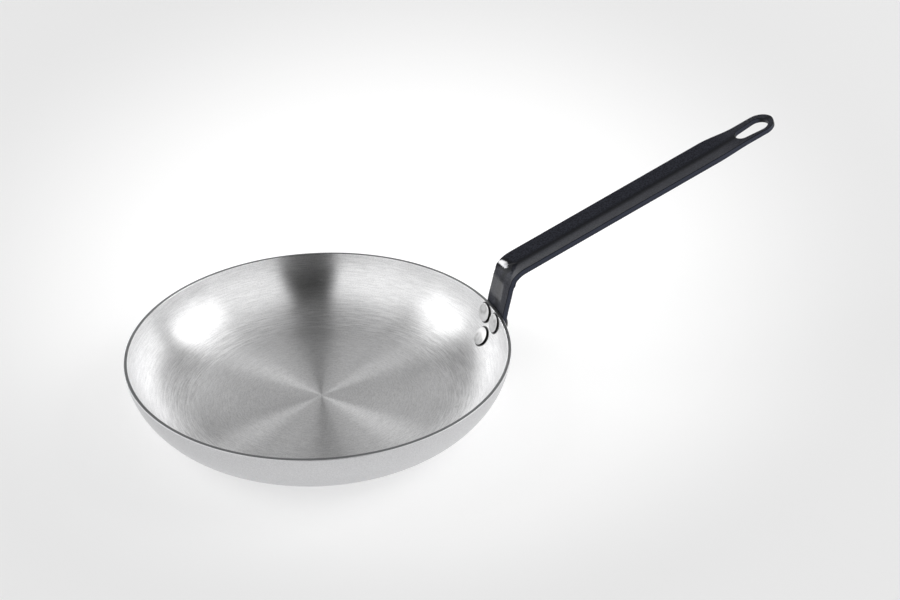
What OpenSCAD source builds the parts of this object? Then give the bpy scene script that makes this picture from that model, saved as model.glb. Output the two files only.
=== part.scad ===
// Omelette pan with a riveted strip handle.
// A spun aluminium body with a flat base and a deep curved side carries one
// long strip handle: a curved flange on the wall, an upright riser, one bend
// and a rising grip with a shallow trough, which ends in a flat hanging ring.
// Three solid rivets hold the handle, two side by side and one below them.
// Origin: centre of the base's underside. +Z up, +X along the handle.

/* [Pan body] */

// Diameter over the rim
rim_d = 280; // [200:10:320]
// Height from the table to the rim
body_h = 47; // [42:1:60]
// Thickness of base and side
wall_t = 2.8; // [2:0.1:3.6]
// Lean of the curved side where it reaches the rim, in degrees from upright
rim_lean = 5; // [3:0.5:7]
// Rounding of the two rim edges
rim_round = 0.6; // [0.3:0.1:0.9]

/* [Handle strip] */

// Width of the strip
strip_w = 29; // [26:0.2:32]
// Thickness of the strip
strip_t = 4; // [3:0.1:4.6]
// Rounding of the strip's long edges
strip_edge = 0.7; // [0.3:0.1:1.2]
// Depth of the trough in the top of the grip
trough_depth = 2.5; // [1.2:0.1:3.2]
// Roundness of the trough's bottom, as a share of the half width
trough_round = 0.2; // [0.1:0.02:0.4]
// Lean of the upright riser, in degrees from upright
riser_lean = 10.2; // [8:0.2:14]
// Height above the rim where the riser and grip lines would meet
bend_h = 32; // [28:0.2:45]
// Radius of the bend, on its upper face
bend_r = 21.5; // [16:0.5:26]
// Rise of the grip, in degrees from level
grip_rise = 21.5; // [12:0.5:30]
// Straight length of the grip from the bend to the tip
grip_l = 227; // [190:1:250]
// Width of the flat ring at the tip
ring_w = 24.2; // [22:0.2:26]

/* [Hanging eye] */

// Width of the eye at its wide end, near the tip
eye_w = 15.6; // [13.2:0.2:16.8]
// Width of the eye at its narrow end
eye_narrow_w = 12.4; // [9:0.2:13]
// Full length of the eye
eye_l = 27.8; // [24:0.2:32]
// Metal left between the eye and the tip
eye_land = 5; // [3.6:0.1:6.4]

/* [Rivets] */

// Diameter of the heads inside the pan
head_d = 14.4; // [12:0.2:15]
// Height of those heads at their centre
head_h = 2.5; // [2.2:0.1:3.2]
// Height of those heads at their edge
head_edge = 1.5; // [1.2:0.1:1.8]
// Diameter of the closed heads behind the flange
back_head_d = 13.2; // [11:0.2:13.6]
// Height of the closed heads
back_head_h = 3.4; // [2.8:0.1:4]
// Diameter of the shanks
shank_d = 6.4; // [5:0.2:8]
// Distance between the two upper rivets
rivet_pair = 17.2; // [16:0.2:18]
// Distance along the wall from the rim to the upper rivets
rivet_down = 8; // [7.6:0.2:10]
// Distance along the wall from the upper rivets to the lower one
rivet_step = 16.6; // [15:0.2:18]

/* [Hidden] */

$fn = 96;

aluminium = [0.78, 0.78, 0.77];
rivet_metal = [0.84, 0.84, 0.83];
coated_steel = [0.09, 0.09, 0.10];

// Clearance between the flange and the wall it is riveted to
seat_gap = 0.05;
// How far cutters run past the metal that they cut
over = 1;
// A length too small to see, which keeps a station on the near side of a change
tiny = 0.0001;

// The side is one arc that leaves the base level and ends at the rim.
rim_r = rim_d / 2;
side_r = body_h / (1 - sin(rim_lean));
base_r = rim_r - side_r * cos(rim_lean);
arc_centre = [base_r, side_r];

// The riser is straight from where the wall has the same lean.
riser_x = sin(riser_lean);
riser_z = cos(riser_lean);
flange_r = side_r + seat_gap;
riser_foot = arc_centre + flange_r * [riser_z, -riser_x];
riser_drop = (body_h - riser_foot[1]) / riser_z;

// Stations along the strip, measured from the level of the rim
riser_angle = 90 - riser_lean;
bend_turn = riser_angle - grip_rise;
bend_start = bend_h / riser_z - bend_r * tan(bend_turn / 2);
bend_end = bend_start + bend_r * bend_turn * PI / 180;
tip = bend_end + grip_l;
ring_r = ring_w / 2;
ring_centre = tip - ring_r;

// The flange ends below the lower rivet, with rounded corners
flange_below_rivet = 9.5;
flange_corner = 9;
flange_end = -(rivet_down + rivet_step) * side_r / (side_r - wall_t) - flange_below_rivet;

// The trough starts at the lips low on the bend, and at its middle higher up
trough_at_lips = 4.5;
trough_at_middle = 17.5;
trough_blend = 5;
// It runs out into the flat ring over this length
ring_blend = 29.5;
ring_flat_l = 27.5;
// The strip follows the round wall at the rim and is flat at the bend
wrap_until = 3;

// Sections of the strip: points across one face
across = 15;

function smooth(x) = let (k = min(1, max(0, x))) k * k * (3 - 2 * k);

// Direction of the strip at station s, in degrees above level
function strip_angle(s) =
    s < -riser_drop ? riser_angle + (s + riser_drop) / flange_r * 180 / PI :
    s < bend_start ? riser_angle :
    s < bend_end ? riser_angle - (s - bend_start) / bend_r * 180 / PI :
    grip_rise;

// Unit vector out of the strip's upper face, as [x, z]
function strip_normal(s) = let (a = strip_angle(s)) [-sin(a), cos(a)];

// Point of the strip's upper face at station s, as [x, z]
function strip_point(s) =
    s < -riser_drop ? arc_centre - flange_r * strip_normal(s) :
    s < bend_start ? riser_foot + (s + riser_drop) * [riser_x, riser_z] :
    s < bend_end ? strip_point(bend_start - tiny) + bend_r * (strip_normal(s) - strip_normal(bend_start)) :
    strip_point(bend_end - tiny) + (s - bend_end) * [cos(grip_rise), sin(grip_rise)];

// Half width of the strip: rounded flange corners, full width, ring, round tip
function strip_half(s) =
    s < flange_end + flange_corner ?
        strip_w / 2 - flange_corner
            + sqrt(max(0, pow(flange_corner, 2) - pow(flange_end + flange_corner - s, 2))) :
    s > ring_centre ? sqrt(max(0, pow(ring_r, 2) - pow(s - ring_centre, 2))) :
    strip_w / 2 - (strip_w / 2 - ring_r) * smooth((s - tip + ring_flat_l + ring_blend) / ring_blend);

// Height of the trough's cross section: lips above the flat strip, middle below
function trough_shape(v) =
    (sqrt(v * v + trough_round * trough_round) - trough_round)
        / (sqrt(1 + trough_round * trough_round) - trough_round) - 0.5;

function trough_share(s, v) =
    smooth((s - bend_start - trough_at_middle + (trough_at_middle - trough_at_lips) * v) / trough_blend)
        * (1 - smooth((s - tip + ring_flat_l + ring_blend) / ring_blend));

function trough_height(s, u, half) =
    let (v = min(1, abs(u) / half)) trough_depth * trough_shape(v) * trough_share(s, v);

// A point of the strip: u across it, d below its upper face
function strip_xyz(s, u, d) =
    let (
        half = max(strip_half(s), strip_edge),
        step = 0.05,
        slope = (trough_height(s, u + step, half) - trough_height(s, u - step, half)) / (2 * step),
        steep = sqrt(1 + slope * slope),
        p = strip_point(s),
        n = strip_normal(s),
        up = trough_height(s, u, half) - d / steep,
        flat = [p[0] + up * n[0], u + d * slope / steep, p[1] + up * n[1]],
        m = p - d * n,
        turn = u / p[0] * 180 / PI,
        wrapped = [m[0] * cos(turn), m[0] * sin(turn), m[1]],
        k = 1 - smooth((s - wrap_until) / (bend_start - wrap_until))
    )
    flat + k * (wrapped - flat);

// A point of an edge's rounding: `side` is 1 or -1, `a` the turn from the face at depth `from`
function edge_point(s, side, a, from) =
    let (
        deep = strip_edge * (1 - cos(a)),
        out = strip_half(s) - strip_edge * (1 - sin(a))
    )
    strip_xyz(s, side * out, abs(from - deep));

// One closed section: the upper face, one edge, the lower face, the other edge
function strip_section(s) =
    let (inner = strip_half(s) - strip_edge)
    [
        for (i = [0:across - 1]) strip_xyz(s, inner * (2 * i / (across - 1) - 1), 0),
        for (a = [30:30:90]) edge_point(s, 1, a, 0),
        for (a = [90:-30:30]) edge_point(s, 1, a, strip_t),
        for (i = [0:across - 1]) strip_xyz(s, inner * (1 - 2 * i / (across - 1)), strip_t),
        for (a = [30:30:90]) edge_point(s, -1, a, strip_t),
        for (a = [90:-30:30]) edge_point(s, -1, a, 0)
    ];

function spread(from, to, steps) = [for (i = [0:steps - 1]) from + (to - from) * i / steps];

// The round tip ends where it is still a little wider than its two roundings.
tip_turn = acos(1.2 * strip_edge / ring_r);

// Stations close together where the strip turns, narrows or changes section
stations = [
    for (a = [90:-15:15]) flange_end + flange_corner * (1 - sin(a)),
    each spread(flange_end + flange_corner, -riser_drop, 8),
    each spread(-riser_drop, bend_start, 8),
    each spread(bend_start, bend_end + trough_blend, 27),
    each spread(bend_end + trough_blend, tip - ring_flat_l - ring_blend, 5),
    each spread(tip - ring_flat_l - ring_blend, tip - ring_flat_l, 10),
    each spread(tip - ring_flat_l, ring_centre, 3),
    for (a = [0:9:81]) ring_centre + ring_r * sin(a),
    ring_centre + ring_r * sin(tip_turn)
];

module strip() {
    count = 2 * across + 12;
    last = len(stations) - 1;
    polyhedron(
        points = [for (s = stations) each strip_section(s)],
        faces = [
            [for (i = [0:count - 1]) i],
            for (k = [0:last - 1], i = [0:count - 1])
                let (a = k * count + i, b = k * count + (i + 1) % count)
                each [[a, a + count, b], [b, a + count, b + count]],
            [for (i = [count - 1:-1:0]) last * count + i]
        ]
    );
}

// Turned about the pan's axis, with the joint of the turn away from the handle
module about_pan() {
    rotate([0, 0, 180])
        rotate_extrude()
            children();
}

// Where the face that lies `off` outside the outer face is at height z
function side_x(off, z) = base_r + sqrt(pow(side_r + off, 2) - pow(side_r - z, 2));

// Half section inside that face, from below the base up to the height top
module side_area(off, top) {
    polygon([
        [0, -off],
        [base_r, -off],
        [side_x(off, top), top],
        [0, top]
    ]);
    intersection() {
        translate(arc_centre)
            circle(side_r + off);
        translate([base_r, -off - over])
            square([side_r + off + over, top + off + over]);
    }
}

// What lies outside a rim edge's rounding: side is 1 outside, -1 inside
module rim_corner(off, side) {
    inset = off - side * rim_round;
    z = body_h - rim_round;
    centre = [side_x(inset, z), z];
    reach = side_r + inset;
    away = side * (centre - arc_centre) / reach;
    difference() {
        polygon([
            centre,
            centre + rim_round * away,
            centre + (rim_round + over) * away,
            centre + [side * over, rim_round + over],
            centre + [0, rim_round + over]
        ]);
        translate(centre)
            circle(rim_round);
    }
}

module body_section() {
    difference() {
        side_area(0, body_h);
        side_area(-wall_t, body_h + over);
        rim_corner(0, 1);
        rim_corner(-wall_t, -1);
    }
}

// A rivet's axis leaves the inner face of the wall square to it.
inner_r = side_r - wall_t;

function rivet_lean(s) = asin((side_r - body_h) / inner_r) + s / inner_r * 180 / PI;

function rivet_seat(s) = arc_centre + inner_r * [cos(rivet_lean(s)), -sin(rivet_lean(s))];

module at_rivet(s, y) {
    seat = rivet_seat(s);
    rotate([0, 0, asin(y / seat[0])])
        translate([seat[0], 0, seat[1]])
            rotate([0, rivet_lean(s) - 90, 0])
                children();
}

upper_s = rivet_down;
lower_s = rivet_down + rivet_step;

// The bores run square through the wall and the flange behind it.
module rivet_bore(s, y) {
    depth = wall_t + strip_t + 2 * over;
    at_rivet(s, y)
        translate([0, 0, over - depth])
            cylinder(d = shank_d, h = depth);
}

module rivet_bores() {
    rivet_bore(upper_s, rivet_pair / 2);
    rivet_bore(upper_s, -rivet_pair / 2);
    rivet_bore(lower_s, 0);
}

// Low domed head, its flat side reaching down past z = 0
module head(d, h, edge) {
    dome = (pow(d / 2, 2) + pow(h - edge, 2)) / (2 * (h - edge));
    rotate_extrude()
        intersection() {
            translate([0, h - dome])
                circle(dome, $fn = 240);
            translate([0, -over])
                square([d / 2, h + 2 * over]);
        }
}

// Both heads are closed down onto the curved faces that they clamp.
module rivet(s, y) {
    grip = wall_t + seat_gap + strip_t;
    color(rivet_metal) {
        intersection() {
            at_rivet(s, y)
                head(head_d, head_h, head_edge);
            about_pan()
                side_area(-wall_t, body_h + over);
        }
        at_rivet(s, y)
            translate([0, 0, -grip - over])
                cylinder(d = shank_d, h = grip + 2 * over);
        difference() {
            at_rivet(s, y)
                translate([0, 0, -grip])
                    mirror([0, 0, 1])
                        head(back_head_d, back_head_h, back_head_h / 4);
            about_pan()
                side_area(seat_gap + strip_t, body_h + over);
        }
    }
}

// The eye: a wide and a narrow round end joined by their tangents
module eye() {
    wide = eye_w / 2;
    narrow = eye_narrow_w / 2;
    apart = eye_l - wide - narrow;
    nx = (narrow - wide) / apart;
    ny = sqrt(1 - nx * nx);
    deep = strip_t + 2 * over;
    end = strip_point(tip);
    translate([end[0], 0, end[1]])
        rotate([0, -grip_rise, 0])
            translate([-eye_land - wide, 0, over - deep]) {
                cylinder(r = wide, h = deep);
                translate([-apart, 0, 0])
                    cylinder(r = narrow, h = deep);
                linear_extrude(deep)
                    polygon([
                        wide * [nx, ny],
                        [-apart, 0] + narrow * [nx, ny],
                        [-apart, 0] + narrow * [nx, -ny],
                        wide * [nx, -ny]
                    ]);
            }
}

module pan_body() {
    color(aluminium)
        difference() {
            about_pan()
                body_section();
            rivet_bores();
        }
}

module handle() {
    color(coated_steel)
        difference() {
            strip();
            eye();
            rivet_bores();
        }
}

module rivet_left() {
    rivet(upper_s, rivet_pair / 2);
}

module rivet_right() {
    rivet(upper_s, -rivet_pair / 2);
}

module rivet_lower() {
    rivet(lower_s, 0);
}

pan_body();
handle();
rivet_left();
rivet_right();
rivet_lower();
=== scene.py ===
"""An omelette pan: spun aluminium body, black-coated strip handle and three solid rivets."""

import math

import bmesh
import bpy
from mathutils import Matrix, Vector


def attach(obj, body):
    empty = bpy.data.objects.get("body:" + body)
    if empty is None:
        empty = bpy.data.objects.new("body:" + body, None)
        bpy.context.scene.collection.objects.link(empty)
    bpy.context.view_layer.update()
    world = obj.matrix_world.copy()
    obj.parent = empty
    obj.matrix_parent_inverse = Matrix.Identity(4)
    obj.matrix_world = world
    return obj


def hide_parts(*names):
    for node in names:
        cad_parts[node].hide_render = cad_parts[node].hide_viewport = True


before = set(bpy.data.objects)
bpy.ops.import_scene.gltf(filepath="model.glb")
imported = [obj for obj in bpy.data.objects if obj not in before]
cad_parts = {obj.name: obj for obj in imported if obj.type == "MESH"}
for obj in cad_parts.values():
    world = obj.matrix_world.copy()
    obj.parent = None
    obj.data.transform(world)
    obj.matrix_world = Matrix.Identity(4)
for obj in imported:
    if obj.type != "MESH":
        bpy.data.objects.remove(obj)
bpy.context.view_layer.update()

bl_info = {
    "name": "Omelette pan",
    "version": (1, 0, 0),
    "blender": (4, 5, 0),
    "location": "3D View > Sidebar > Omelette pan",
    "description": "Builds an omelette pan with a riveted strip handle, and a plain studio around it",
    "category": "Object",
}

BODY = "root"
MM = 0.001
SHARP = math.radians(40)
BODY_SEGMENTS = 288
BORE_SEGMENTS = 48
HEAD_SEGMENTS = 64
STRIP_POINTS = 41
EDGE_POINTS = 5
HEAD_ROUND = 0.5 * MM
FLOOR_REACH = 12.0

# Lamps: name, azimuth and elevation in degrees, width and height in metres, power in watts
LAMP_DISTANCE = 3.0
LAMPS = (
    ("lamp_left", 152, 36, 1.50, 1.40, 10.0),
    ("lamp_right", -13, 34, 1.70, 1.45, 18.0),
)

# Bright areas of the room: azimuth of the middle, half width, lower and upper edge, all in degrees, and
# brightness. Their edges, and the ceiling's, are soft over EDGE degrees to either side.
EDGE = 4
AREAS = (
    (-155, 35, -20, 68, 1.60),
    (-59, 25, -20, 68, 1.50),
    (-10, 21, -20, 68, 1.10),
    (149, 21, -20, 45, 1.50),
    (149, 21, 45, 68, 0.50),
    (34, 24, -20, 17, 3.10),
    (34, 24, 17, 68, 0.45),
    (70, 12, -20, 45, 0.80),
    (70, 12, 45, 68, 0.32),
    (105, 23, -20, 17, 4.00),
    (105, 23, 17, 68, 0.25),
)
CEILING_FROM = 68
CEILING = 0.26
SEEN_GREY = 0.9

# Painted shade: the near-black of the rivet heads' flanks and of the wall round each head.
PAINTED_SHADE = (0.02, 0.02, 0.02)
STAIN = (0.3, 0.3, 0.3)


class PanBodySettings(bpy.types.PropertyGroup):
    """Sizes and finish of the spun body."""

    rim_diameter: bpy.props.FloatProperty(
        name="Rim diameter", description="Diameter over the rim",
        default=280 * MM, min=200 * MM, max=320 * MM, unit="LENGTH", precision=4)
    height: bpy.props.FloatProperty(
        name="Height", description="Height from the table to the rim",
        default=47 * MM, min=42 * MM, max=60 * MM, unit="LENGTH", precision=4)
    wall: bpy.props.FloatProperty(
        name="Wall", description="Thickness of base and side",
        default=2.8 * MM, min=2 * MM, max=3.6 * MM, unit="LENGTH", precision=4)
    rim_lean: bpy.props.FloatProperty(
        name="Rim lean", description="Lean of the side where it reaches the rim, from upright",
        default=math.radians(5), min=math.radians(3), max=math.radians(7), subtype="ANGLE")
    rim_round: bpy.props.FloatProperty(
        name="Rim rounding", description="Rounding of the two rim edges",
        default=0.6 * MM, min=0.3 * MM, max=0.9 * MM, unit="LENGTH", precision=4)
    metal: bpy.props.FloatVectorProperty(
        name="Metal", description="Colour of the spun aluminium",
        default=(0.98, 0.98, 0.985), min=0, max=1, subtype="COLOR")
    outer_metal: bpy.props.FloatVectorProperty(
        name="Outer face", description="Colour of the duller outer face",
        default=(0.68, 0.68, 0.69), min=0, max=1, subtype="COLOR")
    rim_metal: bpy.props.FloatVectorProperty(
        name="Rim metal", description="Colour of the turned land on the rim",
        default=(0.25, 0.255, 0.26), min=0, max=1, subtype="COLOR")


class HandleSettings(bpy.types.PropertyGroup):
    """Sizes and finish of the strip handle."""

    width: bpy.props.FloatProperty(
        name="Width", description="Width of the strip",
        default=29 * MM, min=26 * MM, max=32 * MM, unit="LENGTH", precision=4)
    thickness: bpy.props.FloatProperty(
        name="Thickness", description="Thickness of the strip",
        default=4 * MM, min=3 * MM, max=4.6 * MM, unit="LENGTH", precision=4)
    edge_round: bpy.props.FloatProperty(
        name="Edge rounding", description="Rounding of the strip's long edges",
        default=0.7 * MM, min=0.3 * MM, max=1.2 * MM, unit="LENGTH", precision=4)
    trough_depth: bpy.props.FloatProperty(
        name="Trough depth", description="Depth of the trough in the top of the grip",
        default=2.5 * MM, min=1.2 * MM, max=3.2 * MM, unit="LENGTH", precision=4)
    riser_lean: bpy.props.FloatProperty(
        name="Riser lean", description="Lean of the upright riser",
        default=math.radians(10.2), min=math.radians(8), max=math.radians(14), subtype="ANGLE")
    bend_height: bpy.props.FloatProperty(
        name="Bend height", description="Height over the rim where riser and grip lines would meet",
        default=32 * MM, min=28 * MM, max=45 * MM, unit="LENGTH", precision=4)
    bend_radius: bpy.props.FloatProperty(
        name="Bend radius", description="Radius of the bend on its upper face",
        default=21.5 * MM, min=16 * MM, max=26 * MM, unit="LENGTH", precision=4)
    grip_rise: bpy.props.FloatProperty(
        name="Grip rise", description="Rise of the grip from level",
        default=math.radians(21.5), min=math.radians(12), max=math.radians(30), subtype="ANGLE")
    grip_length: bpy.props.FloatProperty(
        name="Grip length", description="Straight length from the bend to the tip",
        default=227 * MM, min=190 * MM, max=250 * MM, unit="LENGTH", precision=4)
    ring_width: bpy.props.FloatProperty(
        name="Ring width", description="Width of the flat ring at the tip",
        default=24.2 * MM, min=22 * MM, max=26 * MM, unit="LENGTH", precision=4)
    eye_width: bpy.props.FloatProperty(
        name="Eye width", description="Width of the eye at its wide end",
        default=15.6 * MM, min=13.2 * MM, max=16.8 * MM, unit="LENGTH", precision=4)
    eye_narrow_width: bpy.props.FloatProperty(
        name="Eye narrow width", description="Width of the eye at its narrow end",
        default=12.4 * MM, min=9 * MM, max=13 * MM, unit="LENGTH", precision=4)
    eye_length: bpy.props.FloatProperty(
        name="Eye length", description="Full length of the eye",
        default=27.8 * MM, min=24 * MM, max=32 * MM, unit="LENGTH", precision=4)
    eye_offset: bpy.props.FloatProperty(
        name="Eye offset", description="How far the eye sits off the strip's middle, towards +Y",
        default=-1.0 * MM, min=-1.5 * MM, max=1.5 * MM, unit="LENGTH", precision=4)
    # Painted reflection: the cut edges get a lighter, bluer coating colour that stands for the bright floor
    # they reflect.
    edge_reflection: bpy.props.FloatVectorProperty(
        name="Edge coating", description="Colour of the coating on the strip's cut edges",
        default=(0.038, 0.042, 0.060), min=0, max=1, subtype="COLOR")
    # Painted highlight: the bare metal that stands for the highlight on the bend.
    highlight_metal: bpy.props.FloatVectorProperty(
        name="Rubbed metal", description="Colour of the metal where the coating is rubbed off the bend",
        default=(0.62, 0.62, 0.63), min=0, max=1, subtype="COLOR")
    coating: bpy.props.FloatVectorProperty(
        name="Coating", description="Colour of the black coating",
        default=(0.011, 0.0115, 0.015), min=0, max=1, subtype="COLOR")


class RivetSettings(bpy.types.PropertyGroup):
    """Sizes and finish of the three solid rivets."""

    head_diameter: bpy.props.FloatProperty(
        name="Head diameter", description="Diameter of the heads inside the pan",
        default=14.4 * MM, min=12 * MM, max=15 * MM, unit="LENGTH", precision=4)
    head_height: bpy.props.FloatProperty(
        name="Head height", description="Height of those heads at their centre",
        default=2.5 * MM, min=2.2 * MM, max=3.2 * MM, unit="LENGTH", precision=4)
    head_edge: bpy.props.FloatProperty(
        name="Head edge", description="Height of those heads at their edge",
        default=1.5 * MM, min=1.2 * MM, max=1.8 * MM, unit="LENGTH", precision=4)
    back_diameter: bpy.props.FloatProperty(
        name="Closed head diameter", description="Diameter of the heads behind the flange",
        default=13.2 * MM, min=11 * MM, max=13.6 * MM, unit="LENGTH", precision=4)
    back_height: bpy.props.FloatProperty(
        name="Closed head height", description="Height of the heads behind the flange",
        default=3.4 * MM, min=2.8 * MM, max=4 * MM, unit="LENGTH", precision=4)
    shank_diameter: bpy.props.FloatProperty(
        name="Shank diameter", description="Diameter of the shanks",
        default=6.4 * MM, min=5 * MM, max=8 * MM, unit="LENGTH", precision=4)
    pair: bpy.props.FloatProperty(
        name="Pair distance", description="Distance between the two upper rivets",
        default=17.2 * MM, min=16 * MM, max=18 * MM, unit="LENGTH", precision=4)
    down: bpy.props.FloatProperty(
        name="Rim distance", description="Distance along the wall from the rim to the upper rivets",
        default=8 * MM, min=7.6 * MM, max=10 * MM, unit="LENGTH", precision=4)
    step: bpy.props.FloatProperty(
        name="Row distance", description="Distance along the wall from the upper rivets to the lower one",
        default=16.6 * MM, min=15 * MM, max=18 * MM, unit="LENGTH", precision=4)
    metal: bpy.props.FloatVectorProperty(
        name="Metal", description="Colour of the rivets",
        default=(0.60, 0.60, 0.60), min=0, max=1, subtype="COLOR")


class StudioSettings(bpy.types.PropertyGroup):
    """Colours of the floor, and the camera."""

    floor_light: bpy.props.FloatVectorProperty(
        name="Floor", description="Colour of the floor around the pan",
        default=(1.0, 1.0, 1.0), min=0, max=1, subtype="COLOR")
    # Painted light falloff: the floor's darker colour towards the frame's corners.
    floor_far: bpy.props.FloatVectorProperty(
        name="Floor, far", description="Colour of the floor towards the frame's corners",
        default=(0.715, 0.715, 0.715), min=0, max=1, subtype="COLOR")
    camera_place: bpy.props.FloatVectorProperty(
        name="Camera place", description="Where the camera stands",
        default=(-0.2615, -0.8944, 0.6340), subtype="TRANSLATION", unit="LENGTH", precision=4)
    camera_tilt: bpy.props.FloatProperty(
        name="Camera tilt", description="Tilt of the camera from looking straight down",
        default=math.radians(59.366), min=0, max=math.radians(90), subtype="ANGLE", precision=4)
    camera_turn: bpy.props.FloatProperty(
        name="Camera turn", description="Turn of the camera about Z from looking along +Y",
        default=math.radians(-22.164), min=-math.pi, max=math.pi, subtype="ANGLE", precision=4)
    lens: bpy.props.FloatProperty(
        name="Lens", description="Focal length on a 36 mm sensor, in millimetres",
        default=60.32, min=20, max=200)


class BodyShape:
    """The body's half section, worked out from its settings."""

    bore_from = -8 * MM
    bore_to = 2 * MM
    drop_from = -12 * MM
    drop_to = 6 * MM
    halvings = 40
    edge_steps = 8
    side_steps = 48

    def __init__(self, pan):
        self.rim_r = pan.rim_diameter / 2
        self.height = pan.height
        self.wall = pan.wall
        self.rim_round = pan.rim_round
        self.side_r = pan.height / (1 - math.sin(pan.rim_lean))
        self.base_r = self.rim_r - self.side_r * math.cos(pan.rim_lean)
        self.inner_r = self.side_r - pan.wall

    def arc(self, radius, start, end):
        """Points of an arc about the side's centre, by angle below level."""
        points = []
        for a in spread(start, end, self.side_steps):
            points.append((self.base_r + radius * math.cos(a), self.side_r - radius * math.sin(a)))
        return points

    def edge_lean(self, reach):
        """Angle below level, about the side's centre, of a rim edge's rounding."""
        return math.asin((self.side_r - (self.height - self.rim_round)) / reach)

    def rounding(self, reach, start, end):
        """Points of a rim edge's rounding, by angle above level."""
        x = self.base_r + reach * math.cos(self.edge_lean(reach))
        z = self.height - self.rim_round
        points = []
        for a in spread(start, end, self.edge_steps):
            points.append((x + self.rim_round * math.cos(a), z + self.rim_round * math.sin(a)))
        return points

    def section(self):
        """The closed half section from the underside's centre round the rim to the inner centre."""
        quarter = math.pi / 2
        outer = self.side_r - self.rim_round
        inner = self.inner_r + self.rim_round
        outer_lean = self.edge_lean(outer)
        inner_lean = self.edge_lean(inner)
        flat = [0.0, 0.25, 0.5, 0.75]
        under = [(self.base_r * share, 0.0) for share in flat]
        floor = [(self.base_r * share, self.wall) for share in reversed(flat)]
        return (
            under
            + self.arc(self.side_r, quarter, outer_lean)
            + self.rounding(outer, -outer_lean, quarter)[1:]
            + self.rounding(inner, quarter, math.pi - inner_lean)
            + self.arc(self.inner_r, inner_lean, quarter)[1:]
            + floor
        )

    def rivet_place(self, down, across):
        """The matrix that stands a rivet on the inner face, its +Z into the pan."""
        lean = math.asin((self.side_r - self.height) / self.inner_r) + down / self.inner_r
        x = self.base_r + self.inner_r * math.cos(lean)
        z = self.side_r - self.inner_r * math.sin(lean)
        turn = Matrix.Rotation(math.asin(across / x), 4, "Z")
        tilt = Matrix.Rotation(lean - math.pi / 2, 4, "Y")
        return turn @ Matrix.Translation((x, 0, z)) @ tilt

    def drop(self, place, x, y, radius):
        """Height along a rivet's axis at which a point meets the wall face of that radius."""
        low = self.drop_from
        high = self.drop_to
        for _ in range(self.halvings):
            mid = (low + high) / 2
            p = place @ Vector((x, y, mid))
            away = math.hypot(math.hypot(p.x, p.y) - self.base_r, self.side_r - p.z)
            if away > radius:
                low = mid
            else:
                high = mid
        return (low + high) / 2


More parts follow.
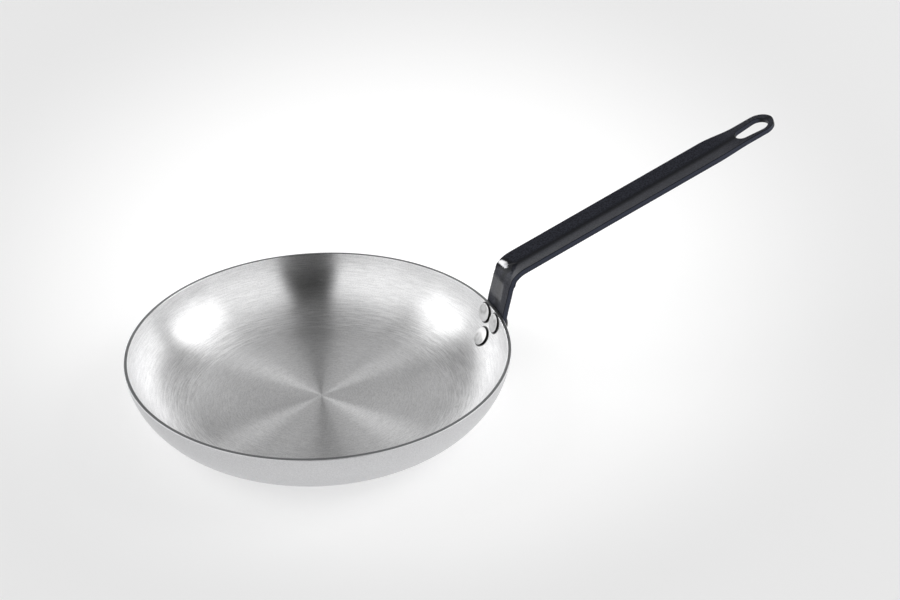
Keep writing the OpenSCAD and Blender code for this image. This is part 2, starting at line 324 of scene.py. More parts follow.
class StripShape:
    """The handle strip: its path, its width and its section at every station."""

    seat_gap = 0.05 * MM
    flange_below_rivet = 9.5 * MM
    flange_corner = 9 * MM
    trough_at_lips = 4.5 * MM
    trough_at_middle = 17.5 * MM
    trough_blend = 5 * MM
    trough_round = 0.2
    ring_blend = 29.5 * MM
    ring_flat = 27.5 * MM
    wrap_until = 3 * MM
    eye_land = 5 * MM
    eye_round = 0.5 * MM
    eye_cutter_past = 1.0 * MM
    merged = 0.01 * MM
    corner_stations = 10
    tip_stations = 24
    tip_blunt = 1.2

    def __init__(self, body, handle, rivets):
        self.half_width = handle.width / 2
        self.thickness = handle.thickness
        self.edge_round = handle.edge_round
        self.trough_depth = handle.trough_depth
        self.bend_r = handle.bend_radius
        self.rise = handle.grip_rise
        self.ring_r = handle.ring_width / 2
        self.centre = Vector((body.base_r, body.side_r))
        self.flange_r = body.side_r + self.seat_gap
        lean = handle.riser_lean
        self.riser = Vector((math.sin(lean), math.cos(lean)))
        self.foot = self.centre + self.flange_r * Vector((math.cos(lean), -math.sin(lean)))
        self.riser_drop = (body.height - self.foot.y) / self.riser.y
        self.riser_angle = math.pi / 2 - lean
        turn = self.riser_angle - self.rise
        self.bend_start = handle.bend_height / self.riser.y - self.bend_r * math.tan(turn / 2)
        self.bend_end = self.bend_start + self.bend_r * turn
        self.tip = self.bend_end + handle.grip_length
        self.ring_centre = self.tip - self.ring_r
        lower = (rivets.down + rivets.step) * body.side_r / body.inner_r
        self.flange_end = -lower - self.flange_below_rivet

    def angle(self, s):
        """Direction of the strip at station s, above level."""
        if s < -self.riser_drop:
            return self.riser_angle + (s + self.riser_drop) / self.flange_r
        if s < self.bend_start:
            return self.riser_angle
        if s < self.bend_end:
            return self.riser_angle - (s - self.bend_start) / self.bend_r
        return self.rise

    def normal(self, s):
        """Unit vector out of the upper face, as (x, z)."""
        a = self.angle(s)
        return Vector((-math.sin(a), math.cos(a)))

    def point(self, s):
        """Point of the upper face, as (x, z)."""
        if s < -self.riser_drop:
            return self.centre - self.flange_r * self.normal(s)
        straight = self.foot + (min(s, self.bend_start) + self.riser_drop) * self.riser
        if s < self.bend_start:
            return straight
        turned = min(s, self.bend_end)
        bent = straight + self.bend_r * (self.normal(turned) - self.normal(self.bend_start))
        if s < self.bend_end:
            return bent
        return bent + (s - self.bend_end) * Vector((math.cos(self.rise), math.sin(self.rise)))

    def ring_share(self, s):
        """0 on the grip, 1 on the flat ring."""
        return smooth((s - self.tip + self.ring_flat + self.ring_blend) / self.ring_blend)

    def half(self, s):
        """Half width: rounded flange corners, full width, ring, round tip."""
        corner = self.flange_end + self.flange_corner
        if s < corner:
            missing = self.flange_corner ** 2 - (corner - s) ** 2
            return self.half_width - self.flange_corner + math.sqrt(max(0.0, missing))
        if s > self.ring_centre:
            return math.sqrt(max(0.0, self.ring_r ** 2 - (s - self.ring_centre) ** 2))
        return self.half_width - (self.half_width - self.ring_r) * self.ring_share(s)

    def trough(self, s, u, half):
        """Height of the trough's section over the flat strip."""
        v = min(1.0, abs(u) / half)
        flat = self.trough_round
        shape = (math.hypot(v, flat) - flat) / (math.hypot(1, flat) - flat) - 0.5
        starts = self.trough_at_middle - (self.trough_at_middle - self.trough_at_lips) * v
        share = smooth((s - self.bend_start - starts) / self.trough_blend) * (1 - self.ring_share(s))
        return self.trough_depth * shape * share

    def xyz(self, s, u, d):
        """A point of the strip: u across it, d below its upper face."""
        half = max(self.half(s), self.edge_round)
        step = 0.05 * MM
        slope = (self.trough(s, u + step, half) - self.trough(s, u - step, half)) / (2 * step)
        steep = math.hypot(1, slope)
        p = self.point(s)
        n = self.normal(s)
        up = self.trough(s, u, half) - d / steep
        flat = Vector((p.x + up * n.x, u + d * slope / steep, p.y + up * n.y))
        m = p - d * n
        turn = u / p.x
        wrapped = Vector((m.x * math.cos(turn), m.x * math.sin(turn), m.y))
        share = smooth((s - self.wrap_until) / (self.bend_start - self.wrap_until))
        return wrapped.lerp(flat, share)

    def section(self, s, across, edge_steps):
        """One closed section: upper face, one edge, lower face, the other edge."""
        half = self.half(s)
        r = min(self.edge_round, half)
        inner = half - r
        points = []
        for side in (1, -1):
            face = 0.0 if side > 0 else self.thickness
            for i in range(across):
                points.append(self.xyz(s, side * inner * (2 * i / (across - 1) - 1), face))
            for centre in (r, self.thickness - r):
                for i in range(1, edge_steps + 1):
                    a = math.pi / 2 * (i - 1 if centre > r else i) / edge_steps
                    out, deep = (math.sin(a), -math.cos(a)) if centre == r else (math.cos(a), math.sin(a))
                    d = centre + r * deep
                    d = d if side > 0 else self.thickness - d
                    points.append(self.xyz(s, side * (inner + r * out), d))
        return points

    def stations(self):
        """Stations close together where the strip turns, narrows or changes section."""
        found = []
        for i in range(self.corner_stations):
            a = math.pi / 2 * (1 - i / (self.corner_stations - 0.5))
            found.append(self.flange_end + self.flange_corner * (1 - math.sin(a)))
        blend_start = self.tip - self.ring_flat - self.ring_blend
        for start, end, steps in (
            (self.flange_end + self.flange_corner, -self.riser_drop, 20),
            (-self.riser_drop, self.bend_start, 16),
            (self.bend_start, self.bend_end + self.trough_blend, 60),
            (self.bend_end + self.trough_blend, blend_start, 40),
            (blend_start, self.tip - self.ring_flat, 30),
            (self.tip - self.ring_flat, self.ring_centre, 10),
        ):
            found += spread(start, end, steps)[:-1]
        last = math.acos(self.tip_blunt * self.edge_round / self.ring_r)
        for a in spread(0.0, last, self.tip_stations):
            found.append(self.ring_centre + self.ring_r * math.sin(a))
        return found


def spread(start, end, steps):
    """Evenly spaced numbers from start to end, both of them included."""
    return [start + (end - start) * i / steps for i in range(steps + 1)]


def smooth(x):
    """0 below 0, 1 above 1, and a smooth step between them."""
    k = min(1.0, max(0.0, x))
    return k * k * (3 - 2 * k)


def plain_object(name, bm):
    """An object from a mesh under construction, with no material."""
    bmesh.ops.recalc_face_normals(bm, faces=bm.faces)
    mesh = bpy.data.meshes.new(name)
    bm.to_mesh(mesh)
    bm.free()
    found = bpy.data.objects.new(name, mesh)
    bpy.context.scene.collection.objects.link(found)
    return found


def new_piece(name, bm, material, node):
    """A visible piece, with its material and its place in the frame."""
    piece = plain_object(name, bm)
    piece.data.materials.append(material)
    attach(piece, BODY)
    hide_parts(node)
    return piece


def shade(piece):
    """Smooth faces with sharp edges."""
    for polygon in piece.data.polygons:
        polygon.use_smooth = True
    piece.data.set_sharp_from_angle(angle=SHARP)


def cut(piece, cutters):
    """Takes the cutters out of the piece and removes them."""
    for cutter in cutters:
        boolean = piece.modifiers.new("Cut", "BOOLEAN")
        boolean.operation = "DIFFERENCE"
        boolean.solver = "EXACT"
        boolean.object = cutter
    bpy.context.view_layer.update()
    evaluated = piece.evaluated_get(bpy.context.evaluated_depsgraph_get())
    mesh = bpy.data.meshes.new_from_object(evaluated)
    piece.modifiers.clear()
    old = piece.data
    piece.data = mesh
    mesh.name = piece.name
    bpy.data.meshes.remove(old)
    for cutter in cutters:
        bpy.data.meshes.remove(cutter.data)


def skin(bm, rings):
    """Joins each ring of vertices to the next with faces; a ring may be a single vertex."""
    for low, high in zip(rings, rings[1:]):
        for k in range(max(len(low), len(high))):
            corners = [low[k % len(low)], low[(k + 1) % len(low)]]
            corners += [high[(k + 1) % len(high)], high[k % len(high)]]
            bm.faces.new(list(dict.fromkeys(corners)))


def skin_with_ends(bm, rings):
    """Joins the rings and closes both ends with a face."""
    skin(bm, rings)
    bm.faces.new(rings[0])
    bm.faces.new(rings[-1])


def circle(r, segments):
    """Points of a circle about the origin, or the origin alone where the radius is zero."""
    if r < 1e-7:
        return [(0.0, 0.0)]
    points = []
    for k in range(segments):
        a = 2 * math.pi * k / segments
        points.append((r * math.cos(a), r * math.sin(a)))
    return points


def revolve(bm, section, segments, place=None):
    """Turns a half section about Z, and moves it to its place."""
    rings = []
    for r, z in section:
        rings.append([bm.verts.new((x, y, z)) for x, y in circle(r, segments)])
    skin(bm, rings)
    if place:
        bmesh.ops.transform(bm, matrix=place, verts=bm.verts)


def rivet_places(body, rivets):
    """Node name and place of each rivet."""
    return {
        "rivet_left": body.rivet_place(rivets.down, rivets.pair / 2),
        "rivet_right": body.rivet_place(rivets.down, -rivets.pair / 2),
        "rivet_lower": body.rivet_place(rivets.down + rivets.step, 0),
    }


def bore_cutters(body, rivets):
    """Cylinders for the bores through wall and flange."""
    found = []
    r = rivets.shank_diameter / 2
    section = [(0, body.bore_from), (r, body.bore_from), (r, body.bore_to), (0, body.bore_to)]
    for name, place in rivet_places(body, rivets).items():
        bm = bmesh.new()
        revolve(bm, section, BORE_SEGMENTS, place)
        found.append(plain_object(name + "_bore", bm))
    return found


def build_body(settings, rivets):
    """The spun body with its three bores."""
    body = BodyShape(settings)
    bm = bmesh.new()
    revolve(bm, body.section(), BODY_SEGMENTS)
    metal = spun_aluminium(settings, body, rivet_places(body, rivets).values())
    piece = new_piece("pan_body_spun", bm, metal, "pan_body")
    cut(piece, bore_cutters(body, rivets))
    shade(piece)


def eye_cutter(strip, handle):
    """The eye: two round ends and their tangents, widening at both faces for rounded edges."""
    wide = handle.eye_width / 2
    narrow = handle.eye_narrow_width / 2
    apart = handle.eye_length - wide - narrow
    lean = math.asin((wide - narrow) / apart)
    r = strip.eye_round
    outline = []
    for centre, radius, start, end, steps in (
        (0.0, wide, -math.pi / 2 - lean, math.pi / 2 + lean, 40),
        (-apart, narrow, math.pi / 2 + lean, 3 * math.pi / 2 - lean, 28),
    ):
        for a in spread(start, end, steps):
            outline.append((centre, radius, a))
    flare = [(strip.eye_cutter_past, r)]
    for a in spread(0.0, math.pi / 2, 6):
        flare.append((-r * (1 - math.cos(a)), r * (1 - math.sin(a))))
    levels = flare + [(-strip.thickness - z, grow) for z, grow in reversed(flare)]
    bm = bmesh.new()
    rings = []
    for z, grow in levels:
        ring = []
        for centre, radius, a in outline:
            reach = radius + grow
            ring.append(bm.verts.new((centre + reach * math.cos(a), reach * math.sin(a), z)))
        rings.append(ring)
    skin_with_ends(bm, rings)
    end = strip.point(strip.tip)
    place = Matrix.Translation((end.x, 0, end.y)) @ Matrix.Rotation(-strip.rise, 4, "Y")
    place = place @ Matrix.Translation((-strip.eye_land - wide, handle.eye_offset, 0))
    bmesh.ops.transform(bm, matrix=place, verts=bm.verts)
    return plain_object("eye_cutter", bm)


def build_handle(settings, pan, rivets):
    """The pressed strip: a loft through its stations, with the eye and the bores cut."""
    body = BodyShape(pan)
    strip = StripShape(body, settings, rivets)
    bm = bmesh.new()
    rings = []
    for s in strip.stations():
        rings.append([bm.verts.new(p) for p in strip.section(s, STRIP_POINTS, EDGE_POINTS)])
    skin_with_ends(bm, rings)
    bmesh.ops.remove_doubles(bm, verts=bm.verts, dist=strip.merged)
    piece = new_piece("handle_strip", bm, black_coating(settings), "handle")
    cut(piece, [eye_cutter(strip, settings)] + bore_cutters(body, rivets))
    shade(piece)


def head_section(radius, height, edge):
    """Points of a domed head from its edge's foot up to its centre."""
    dome = (radius ** 2 + (height - edge) ** 2) / (2 * (height - edge))
    lean = math.asin((radius - HEAD_ROUND) / (dome - HEAD_ROUND))
    round_z = height - dome + (dome - HEAD_ROUND) * math.cos(lean)
    points = []
    for a in spread(0.0, math.pi / 2 - lean, 6):
        points.append((radius - HEAD_ROUND + HEAD_ROUND * math.cos(a), round_z + HEAD_ROUND * math.sin(a)))
    for share in spread(0.0, 1.0, 12)[1:]:
        a = lean * (1 - share)
        points.append((dome * math.sin(a), height - dome + dome * math.cos(a)))
    return points


def build_rivets(settings, pan, handle):
    """Three solid rivets, their heads closed down on the wall and on the flange."""
    body = BodyShape(pan)
    middle = body.rivet_place(settings.down + settings.step / 2, 0)
    metal = rivet_metal(settings, middle.to_3x3() @ Vector((0, 0, 1)))
    flange = StripShape.seat_gap + handle.thickness
    radius = settings.head_diameter / 2
    back_radius = settings.back_diameter / 2
    back_edge = settings.back_height / 4
    shank = settings.shank_diameter / 2
    front = head_section(radius, settings.head_height, settings.head_edge)
    back = head_section(back_radius, settings.back_height, back_edge)
    under = [shank, shank + (radius - shank) * 0.33, shank + (radius - shank) * 0.66, radius]
    back_under = [shank, shank + (back_radius - shank) * 0.5, back_radius]
    section = [(r, -pan.wall - flange - z, None) for r, z in reversed(back)]
    section += [(r, None, body.side_r + flange) for r in reversed(back_under)]
    section += [(r, None, body.inner_r) for r in under]
    section += [(r, z, None) for r, z in front]
    for name, place in rivet_places(body, settings).items():
        bm = bmesh.new()
        rings = []
        for r, z, seat_r in section:
            ring = []
            for x, y in circle(r, HEAD_SEGMENTS):
                up = body.drop(place, x, y, seat_r) if seat_r else z
                ring.append(bm.verts.new((x, y, up)))
            rings.append(ring)
        skin(bm, rings)
        bmesh.ops.transform(bm, matrix=place, verts=bm.verts)
        piece = new_piece(name + "_solid", bm, metal, name)
        shade(piece)


class Value:
    """A number in a shader. Arithmetic on it adds Math nodes."""

    def __init__(self, graph, socket):
        self.graph = graph
        self.socket = socket

    def math(self, operation, *others):
        """The result of a Math node on this number and the others."""
        sockets = {0: self}
        for i, other in enumerate(others):
            sockets[i + 1] = other
        node = self.graph.node("ShaderNodeMath", {"operation": operation}, sockets)
        return Value(self.graph, node.outputs[0])

    def __add__(self, other):
        return self.math("ADD", other)

    def __radd__(self, other):
        return self.math("ADD", other)

    def __mul__(self, other):
        return self.math("MULTIPLY", other)

    def __rmul__(self, other):
        return self.math("MULTIPLY", other)

    def __sub__(self, other):
        return self.math("SUBTRACT", other)

    def __rsub__(self, other):
        return (self * -1).math("ADD", other)

    def __truediv__(self, other):
        return self.math("DIVIDE", other)

    def __pow__(self, other):
        return self.math("POWER", other)

    def between(self, low, high):
        """A smooth step: 0 at low, 1 at high."""
        node = self.graph.node(
            "ShaderNodeMapRange", {"interpolation_type": "SMOOTHSTEP"},
            {"Value": self, "From Min": low, "From Max": high})
        return Value(self.graph, node.outputs["Result"])


class Graph:
    """The node tree of one material or world."""

    def __init__(self, owner):
        owner.use_nodes = True
        self.tree = owner.node_tree
        self.tree.nodes.clear()

    def node(self, kind, settings=None, sockets=None):
        """Adds a node: its settings first, then the values or links of its sockets."""
        made = self.tree.nodes.new(kind)
        for key, setting in (settings or {}).items():
            setattr(made, key, setting)
        for key, given in (sockets or {}).items():
            if isinstance(given, Value):
                given = given.socket
            if isinstance(given, bpy.types.NodeSocket):
                self.tree.links.new(given, made.inputs[key])
            else:
                made.inputs[key].default_value = given
        return made

    def value(self, socket):
        """A socket as a number to calculate with."""
        return Value(self, socket)

    def parts(self, vector):
        """The three numbers of a vector."""
        split = self.node("ShaderNodeSeparateXYZ", None, {0: vector})
        return [self.value(split.outputs[i]) for i in range(3)]

    def position(self):
        """The point's x, y and z in the frame."""
        return self.parts(self.node("ShaderNodeTexCoord").outputs["Object"])

    def vector(self, x, y, z):
        """A vector of three numbers."""
        return self.node("ShaderNodeCombineXYZ", None, {0: x, 1: y, 2: z}).outputs[0]

    def noise(self, vector, scale=1.0, detail=2.0, roughness=0.5):
        """Noise about 0.5, with that many cells to a unit."""
        found = self.node(
            "ShaderNodeTexNoise", {"noise_dimensions": "3D"},
            {"Vector": vector, "Scale": scale, "Detail": detail, "Roughness": roughness})
        return self.value(found.outputs["Fac"])

    def mix(self, share, first, second):
        """A colour between two colours."""
        sockets = {0: share}
        for index, colour in ((6, first), (7, second)):
            linked = isinstance(colour, bpy.types.NodeSocket)
            sockets[index] = colour if linked else (*colour[:3], 1)
        return self.node("ShaderNodeMix", {"data_type": "RGBA"}, sockets).outputs[2]

    def bump(self, height, distance):
        """The normal over a height field."""
        return self.node("ShaderNodeBump", None, {"Height": height, "Distance": distance}).outputs["Normal"]

    def shader(self, kind, sockets):
        """The output of a shader node."""
        return self.node(kind, None, sockets).outputs[0]

    def output(self, shader, kind="ShaderNodeOutputMaterial"):
        """Ends the tree in that shader."""
        self.node(kind, None, {0: shader})


def shades(colour, share):
    """The same colour, darker or lighter by that share."""
    return [share * c for c in colour]


def new_material(name):
    """An empty material and its graph."""
    material = bpy.data.materials.new(name)
    return material, Graph(material)


def spun_aluminium(settings, body, places):
    """Bare aluminium, spun and brushed in fine rings about the axis, with painted shade round the rivets."""
    material, g = new_material("spun_aluminium")
    x, y, z = g.position()
    point = g.vector(x, y, z)
    r = (x * x + y * y) ** 0.5
    side = (r - body.base_r).math("ARCTAN2", body.side_r - z)
    along = r.math("MINIMUM", body.base_r) + side.math("MAXIMUM", 0.0) * body.inner_r
    turn_x = x / r.math("MAXIMUM", MM)
    turn_y = y / r.math("MAXIMUM", MM)

    def rings(around, across, detail=2.0, roughness=0.5):
        """Noise drawn out along the rings: so many cells to a radian round them and to a metre across."""
        return g.noise(g.vector(turn_x * around, turn_y * around, along * across), 1.0, detail, roughness)

    fine = rings(around=12, across=1400)
    lines = rings(around=3, across=700, detail=3.0, roughness=0.6)
    bands = rings(around=0.8, across=90)
    arcs = rings(around=5, across=900, detail=3.0, roughness=0.7).between(0.40, 0.62)
    ticks = fine.between(0.38, 0.62)
    speckle = g.noise(point, 1300.0).between(0.32, 0.68)
    side_foot = along.between(86 * MM, 98 * MM) * (1 - along.between(112 * MM, 124 * MM))
    wall = along.between(104 * MM, 124 * MM)
    land = z.between(body.height - 0.12 * MM, body.height - 0.02 * MM)
    out = ((r - body.base_r).math("MAXIMUM", 0.0) ** 2 + (body.side_r - z) ** 2) ** 0.5
    outer = out.between(body.inner_r + 0.8 * MM, body.inner_r + 1.8 * MM)

    worked = lines * 0.05 + ticks * 0.25 + speckle * 0.35 + arcs * (0.15 + side_foot * 0.35)
    tone = g.mix(worked, shades(settings.metal, 0.64), settings.metal)
    stain_x, stain_y = 86.2 * MM, -53.5 * MM
    stain = ((x - stain_x) ** 2 + (y - stain_y) ** 2) ** 0.5
    tone = g.mix((1 - stain.between(0.8 * MM, 2.2 * MM)) * 0.3, tone, STAIN)
    # Painted shade: a dark ring on the wall round each rivet head, set a little off the head's centre so it
    # shows as a crescent.
    off_centre = Vector((0.3 * MM, -0.8 * MM, 0))
    for place in places:
        seat = place @ off_centre
        away = g.node("ShaderNodeVectorMath", {"operation": "DISTANCE"}, {0: point, 1: seat})
        shade_ring = 1 - g.value(away.outputs["Value"]).between(7.9 * MM, 8.6 * MM)
        tone = g.mix(shade_ring * 0.92, tone, PAINTED_SHADE)
    inside = g.shader("ShaderNodeBsdfPrincipled", {
        "Base Color": g.mix(land, tone, settings.rim_metal),
        "Metallic": 1.0,
        "Roughness": 0.30 + bands * 0.05 + lines * 0.05 - wall * 0.06,
        "Anisotropic": 1.0,
        "Anisotropic Rotation": 0.25,
        "Normal": g.bump(fine * 0.4 + lines * 0.6, 0.03 * MM),
    })
    dull = g.mix(speckle, shades(settings.outer_metal, 0.86), settings.outer_metal)
    outside = g.shader("ShaderNodeBsdfPrincipled", {
        "Base Color": g.mix(land, dull, settings.rim_metal),
        "Metallic": 1.0,
        "Roughness": 0.36 + bands * 0.06 + speckle * 0.06,
        "Normal": g.bump(speckle + lines, 0.01 * MM),
    })
    g.output(g.shader("ShaderNodeMixShader", {0: outer, 1: inside, 2: outside}))
    return material


def black_coating(settings):
    """Black coating with a fine grain, glossier on the riser, with painted shade along the middle and on the
    edge roundings, a painted reflection on the cut edges, and a painted highlight of bare metal on the bend
    within a band of painted dark reflection.
    """
    material, g = new_material("black_coating")
    x, y, z = g.position()
    point = g.vector(x, y, z)
    grain = g.noise(point, 1500.0)
    cloud = g.noise(point, 60.0, detail=3.0)
    fleck = g.noise(point, 850.0).between(0.36, 0.64)
    facing = g.parts(g.node("ShaderNodeNewGeometry").outputs["Normal"])
    sideways = facing[1].math("ABSOLUTE")
    upper = facing[2].between(0.0, 0.2)
    # Painted reflection: sideways faces, the cut edges, take the lighter, bluer edge colour.
    edge = sideways.between(0.62, 0.90)
    # Painted shade: dark lines on the roundings between the faces and the cut edges.
    corner = sideways.between(0.18, 0.45) * (1 - edge)
    # Painted shade: the coating is darker along the strip's middle, where the trough's valley lies.
    middle = 1 - y.math("ABSOLUTE").between(0.5 * MM, 4.5 * MM)

    # Painted highlight: a bright bare-metal patch on the far half of the bend, on upward faces only.
    highlight_y, highlight_z, highlight_flat = 8.5 * MM, 78.7 * MM, 4
    away = ((y - highlight_y) ** 2 + ((z - highlight_z) * highlight_flat) ** 2) ** 0.5 + (fleck - 0.5) * 1.5 * MM
    highlight_patch = (1 - away.between(4.5 * MM, 7.5 * MM)) * upper
    # Painted dark reflection: a darker band round the highlight patch.
    dark_reflection_ring = 1 - away.between(10 * MM, 15 * MM)
    glossy = y.between(-7 * MM, -4 * MM) * z.between(52 * MM, 57 * MM) * (1 - z.between(67 * MM, 71 * MM))

    tone = g.mix(fleck * 0.8 + cloud * 0.2, settings.coating, shades(settings.coating, 2.8))
    tone = g.mix(middle * 0.8, tone, shades(settings.coating, 0.3))
    tone = g.mix(edge, tone, settings.edge_reflection)
    tone = g.mix(corner, tone, shades(settings.coating, 0.1))
    tone = g.mix(dark_reflection_ring * 0.9, tone, shades(settings.coating, 0.2))
    tone = g.mix(highlight_patch, tone, settings.highlight_metal)
    g.output(g.shader("ShaderNodeBsdfPrincipled", {
        "Base Color": tone,
        "Roughness": 0.34 + cloud * 0.08 + grain * 0.06,
        "Specular IOR Level": 0.14,
        "Specular Tint": (0.80, 0.86, 1.0, 1.0),
        "Metallic": highlight_patch,
        "Coat Weight": 0.05 + glossy * 0.85,
        "Coat Roughness": 0.10,
        "Normal": g.bump(grain * 0.4 + fleck * 0.6, 0.05 * MM),
    }))
    return material


def rivet_metal(settings, outward):
    """Softly bright aluminium of the pressed heads, with a painted highlight on their edge rounding and
    painted shade on their flanks.
    """
    material, g = new_material("rivet_aluminium")
    point = g.vector(*g.position())
    grain = g.noise(point, 1200.0)
    cloud = g.noise(point, 260.0)
    facing = g.node("ShaderNodeNewGeometry").outputs["Normal"]
    raised = g.node("ShaderNodeVectorMath", {"operation": "DOT_PRODUCT"}, {0: facing, 1: outward})
    level = g.value(raised.outputs["Value"]).math("ABSOLUTE")
    # Painted shade: the steep flanks of the heads go near-black.
    shaded_flank = 1 - level.between(0.60, 0.88)
    # Painted highlight: a lighter ring on each head's edge rounding.
    lip_highlight = 1 - level.between(0.955, 0.985)
    crown = g.mix(cloud.between(0.35, 0.65), shades(settings.metal, 0.72), settings.metal)
    tone = g.mix(lip_highlight, crown, shades(settings.metal, 1.3))
    tone = g.mix(shaded_flank * 0.95, tone, PAINTED_SHADE)
    g.output(g.shader("ShaderNodeBsdfPrincipled", {
        "Base Color": tone,
        "Metallic": 1.0,
        "Roughness": 0.40 + grain * 0.06 + cloud * 0.06,
        "Normal": g.bump(cloud + grain * 0.2, 0.04 * MM),
    }))
    return material


def floor_material(settings):
    """A white table with a painted pool of light that fades a little towards the frame's corners, and which
    keeps the pan's shadow.
    """
    material, g = new_material("studio_floor")
    x, y = g.position()[:2]
    fade_from, fade_to = 0.100, 0.434
    foreshortening, narrowing, nearest = 0.74, 0.68, 0.2
    glow, blackness = 0.58, 0.62
    back = math.radians(67.84)
    aim = Vector((0.110, 0.128))
    ahead = (x - aim.x) * math.cos(back) + (y - aim.y) * math.sin(back)
    aside = (x - aim.x) * math.sin(back) - (y - aim.y) * math.cos(back)
    away = (aside * aside + (ahead * foreshortening) ** 2) ** 0.5
    away = away / (1 + ahead * narrowing).math("MAXIMUM", nearest)
    # Painted pool of light: the floor's colour is brightest round the pan and darker towards the frame's
    # corners.
    tone = g.mix(away.between(fade_from, fade_to), settings.floor_light, settings.floor_far)
    light = g.shader("ShaderNodeEmission", {"Color": tone, "Strength": glow})
    plain = g.shader("ShaderNodeBsdfDiffuse", {"Color": tone})
    black = g.shader("ShaderNodeBsdfDiffuse", {"Color": (0, 0, 0, 1)})
    grey = g.shader("ShaderNodeBsdfDiffuse", {"Color": (0.8, 0.8, 0.8, 1)})
    dim = g.shader("ShaderNodeMixShader", {0: blackness, 1: black, 2: plain})
    shown = g.shader("ShaderNodeAddShader", {0: light, 1: dim})
    rays = g.node("ShaderNodeLightPath")
    seen = g.value(rays.outputs["Is Camera Ray"]) + rays.outputs["Is Glossy Ray"]
    seen = (seen + rays.outputs["Is Transmission Ray"]).math("MINIMUM", 1.0)
    g.output(g.shader("ShaderNodeMixShader", {0: seen, 1: grey, 2: shown}))
    return material


def placed(name, data):
    """An object in the scene for a camera or a lamp."""
    found = bpy.data.objects.new(name, data)
    bpy.context.scene.collection.objects.link(found)
    return found


def add_floor(settings):
    """The table under the pan, which belongs to the stage."""
    bm = bmesh.new()
    bmesh.ops.create_grid(bm, x_segments=8, y_segments=8, size=FLOOR_REACH)
    floor = plain_object("studio_floor", bm)
    floor.data.materials.append(floor_material(settings))


def add_camera(settings):
    """The camera, which looks down at the pan from its -Y side."""
    camera = bpy.data.cameras.new("camera")
    camera.lens = settings.lens
    camera.sensor_width = 36
    eye = placed("camera", camera)
    eye.location = settings.camera_place
    eye.rotation_euler = (settings.camera_tilt, 0, settings.camera_turn)
    bpy.context.scene.camera = eye


def add_lamp(name, azimuth, elevation, width, height, power):
    """A soft rectangular lamp that looks at the pan."""
    lamp = bpy.data.lights.new(name, "AREA")
    lamp.shape = "RECTANGLE"
    lamp.size = width
    lamp.size_y = height
    lamp.energy = power
    holder = placed(name, lamp)
    a = math.radians(azimuth)
    e = math.radians(elevation)
    way = Vector((math.cos(a) * math.cos(e), math.sin(a) * math.cos(e), math.sin(e)))
    holder.location = way * LAMP_DISTANCE
    holder.rotation_euler = way.to_track_quat("Z", "Y").to_euler()


def up_at(degrees):
    """Height of a direction on the unit sphere, from its angle above the horizon."""
    return math.sin(math.radians(degrees))


def add_room():
    """The room around: bright areas and a ceiling in the dark, and an even grey where the camera sees it."""
    world = bpy.data.worlds.new("studio")
    bpy.context.scene.world = world
    g = Graph(world)
    coordinates = g.node("ShaderNodeTexCoord")
    east, north, up = g.parts(coordinates.outputs["Generated"])
    level = ((east * east + north * north) ** 0.5).math("MAXIMUM", 0.001)
    room_light = up.between(up_at(CEILING_FROM - EDGE), up_at(CEILING_FROM + EDGE)) * CEILING
    for azimuth, half, low, high, brightness in AREAS:
        a = math.radians(azimuth)
        facing = (east * math.cos(a) + north * math.sin(a)) / level
        across = facing.between(math.cos(math.radians(half + EDGE)), math.cos(math.radians(half - EDGE)))
        above = up.between(up_at(low - EDGE), up_at(low + EDGE))
        below = 1 - up.between(up_at(high - EDGE), up_at(high + EDGE))
        room_light = room_light + across * above * below * brightness
    camera_ray = g.value(g.node("ShaderNodeLightPath").outputs["Is Camera Ray"])
    strength = room_light * (1 - camera_ray) + camera_ray * SEEN_GREY
    g.output(g.shader("ShaderNodeBackground", {"Strength": strength}), "ShaderNodeOutputWorld")


def build_studio(settings):
    """Floor, camera, two soft lamps and the room."""
    add_floor(settings)
    add_camera(settings)
    for lamp in LAMPS:
        add_lamp(*lamp)
    add_room()
    bpy.context.scene.view_settings.view_transform = "Standard"


class OMELETTE_OT_body(bpy.types.Operator):
    """Build the spun body"""

    bl_idname = "omelette.body"
    bl_label = "Pan body"

    def execute(self, context):
        scene = context.scene
        build_body(scene.omelette_body, scene.omelette_rivets)
        return {"FINISHED"}


class OMELETTE_OT_handle(bpy.types.Operator):
    """Build the strip handle"""

    bl_idname = "omelette.handle"
    bl_label = "Handle"

    def execute(self, context):
        scene = context.scene
        build_handle(scene.omelette_handle, scene.omelette_body, scene.omelette_rivets)
        return {"FINISHED"}


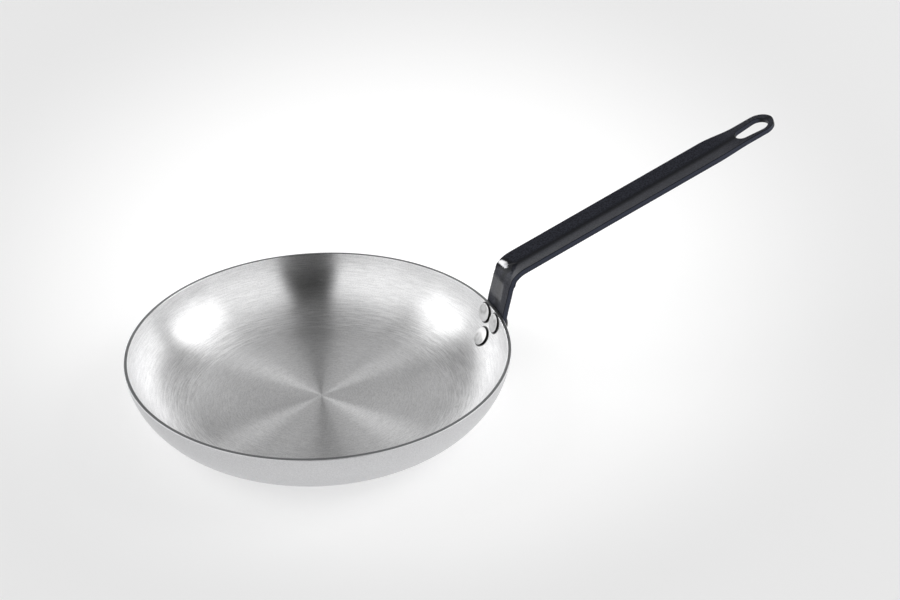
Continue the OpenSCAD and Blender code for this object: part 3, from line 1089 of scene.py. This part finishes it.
class OMELETTE_OT_rivets(bpy.types.Operator):
    """Build the three rivets"""

    bl_idname = "omelette.rivets"
    bl_label = "Rivets"

    def execute(self, context):
        scene = context.scene
        build_rivets(scene.omelette_rivets, scene.omelette_body, scene.omelette_handle)
        return {"FINISHED"}


class OMELETTE_OT_studio(bpy.types.Operator):
    """Set up floor, lamps and camera"""

    bl_idname = "omelette.studio"
    bl_label = "Studio"

    def execute(self, context):
        build_studio(context.scene.omelette_studio)
        return {"FINISHED"}


class OMELETTE_PT_sidebar(bpy.types.Panel):
    """Settings and operators in the 3D view's sidebar."""

    bl_idname = "OMELETTE_PT_sidebar"
    bl_label = "Omelette pan"
    bl_space_type = "VIEW_3D"
    bl_region_type = "UI"
    bl_category = "Omelette pan"

    def draw(self, context):
        for operator, group in STEPS:
            box = self.layout.box()
            settings = getattr(context.scene, group)
            for name in settings.__annotations__:
                box.prop(settings, name)
            box.operator(operator)


STEPS = (
    ("omelette.body", "omelette_body"),
    ("omelette.handle", "omelette_handle"),
    ("omelette.rivets", "omelette_rivets"),
    ("omelette.studio", "omelette_studio"),
)

GROUPS = {
    "omelette_body": PanBodySettings,
    "omelette_handle": HandleSettings,
    "omelette_rivets": RivetSettings,
    "omelette_studio": StudioSettings,
}

CLASSES = (
    *GROUPS.values(),
    OMELETTE_OT_body,
    OMELETTE_OT_handle,
    OMELETTE_OT_rivets,
    OMELETTE_OT_studio,
    OMELETTE_PT_sidebar,
)


def register():
    for cls in CLASSES:
        bpy.utils.register_class(cls)
    for name, group in GROUPS.items():
        setattr(bpy.types.Scene, name, bpy.props.PointerProperty(type=group))


def unregister():
    for name in GROUPS:
        delattr(bpy.types.Scene, name)
    for cls in reversed(CLASSES):
        bpy.utils.unregister_class(cls)


def main():
    """Builds the pan and the studio."""
    register()
    bpy.ops.omelette.body()
    bpy.ops.omelette.handle()
    bpy.ops.omelette.rivets()
    bpy.ops.omelette.studio()
    bpy.context.view_layer.update()


if __name__ == "__main__":
    main()
